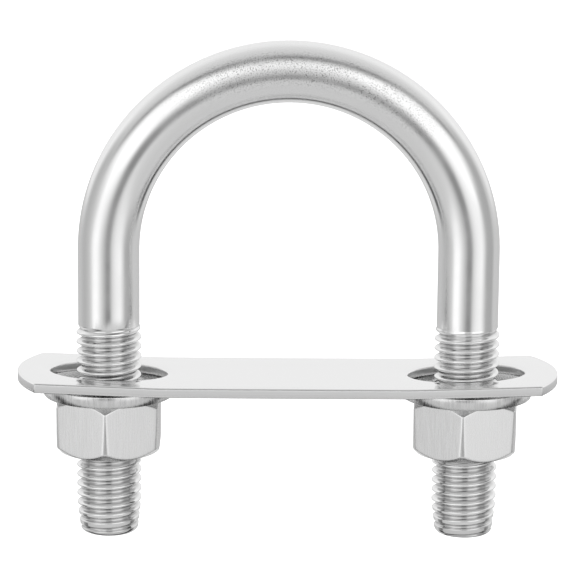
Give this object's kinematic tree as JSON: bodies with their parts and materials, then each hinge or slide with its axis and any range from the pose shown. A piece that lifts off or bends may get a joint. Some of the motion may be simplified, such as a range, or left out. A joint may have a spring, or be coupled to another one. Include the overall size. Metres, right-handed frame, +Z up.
{
  "type": "u-bolt",
  "caption": "Round-bow U-bolt pipe clamp with threaded legs, a slotted clamp plate, plain washers and hexagon nuts.",
  "frame": {"origin": "centre of the clamp plate's flat top face, where the clamped pipe rests", "axes": "+X along the clamp plate from the left leg to the right leg, +Y through the U along the clamped pipe, +Z up from the plate to the top of the bow"},
  "size_m": [0.083, 0.0204, 0.0767],
  "materials": {
    "rod_steel": "satin polished stainless rod with bright rolled threads",
    "plate_steel": "smooth rolled stainless sheet with sheared edges",
    "washer_steel": "stamped stainless sheet with sheared rim",
    "nut_steel": "bright stainless with fine brushed flats"
  },
  "bodies": {
    "u_bolt": {"u_bolt": "rod_steel"},
    "clamp_plate": {"clamp_plate": "plate_steel"},
    "washer_left": {"washer_left": "washer_steel"},
    "washer_right": {"washer_right": "washer_steel"},
    "nut_left": {"nut_left": "nut_steel"},
    "nut_right": {"nut_right": "nut_steel"}
  },
  "joints": [
    {"name": "plate_slide", "type": "slide", "parent": "u_bolt", "child": "clamp_plate", "axis": [0, 0, 1], "range_m": [0, 0.018]},
    {"name": "washer_left_slide", "type": "slide", "parent": "u_bolt", "child": "washer_left", "axis": [0, 0, 1], "range_m": [-0.012, 0]},
    {"name": "nut_left_turn", "type": "hinge", "parent": "washer_left", "child": "nut_left", "pos_m": [-0.0275, 0, -0.00773], "axis": [0, 0, 1], "range_deg": [-2880, 0]},
    {"name": "washer_right_slide", "type": "slide", "parent": "u_bolt", "child": "washer_right", "axis": [0, 0, 1], "range_m": [-0.012, 0]},
    {"name": "nut_right_turn", "type": "hinge", "parent": "washer_right", "child": "nut_right", "pos_m": [0.0275, 0, -0.00773], "axis": [0, 0, 1], "range_deg": [-2880, 0]}
  ],
  "couplings": [
    {"joint": "washer_left_slide", "follows": "nut_left_turn", "m_per_rad": 0.00023873},
    {"joint": "washer_right_slide", "follows": "nut_right_turn", "m_per_rad": 0.00023873}
  ]
}
